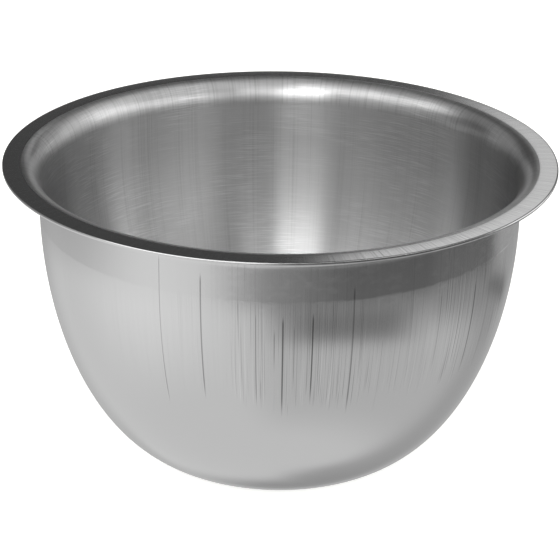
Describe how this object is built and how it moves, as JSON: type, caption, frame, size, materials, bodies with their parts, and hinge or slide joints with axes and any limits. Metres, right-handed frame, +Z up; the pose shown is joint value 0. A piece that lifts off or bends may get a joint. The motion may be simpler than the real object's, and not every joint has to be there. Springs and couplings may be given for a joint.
{
  "type": "gallipot",
  "caption": "Round open bowl pressed from one stainless steel sheet, with a flat flange at the rim, a short straight neck, a deep curved body and a flat base, for lotions and swabs.",
  "frame": {"origin": "centre of the underside of the flat base", "axes": "+Z up along the bowl's axis, out of its mouth; X and Y level, and the bowl is the same all round"},
  "size_m": [0.1, 0.1, 0.057],
  "materials": {
    "steel": "bright drawn stainless steel with fine upright draw marks"
  },
  "bodies": {
    "root": {"bowl": "steel"}
  },
  "joints": []
}
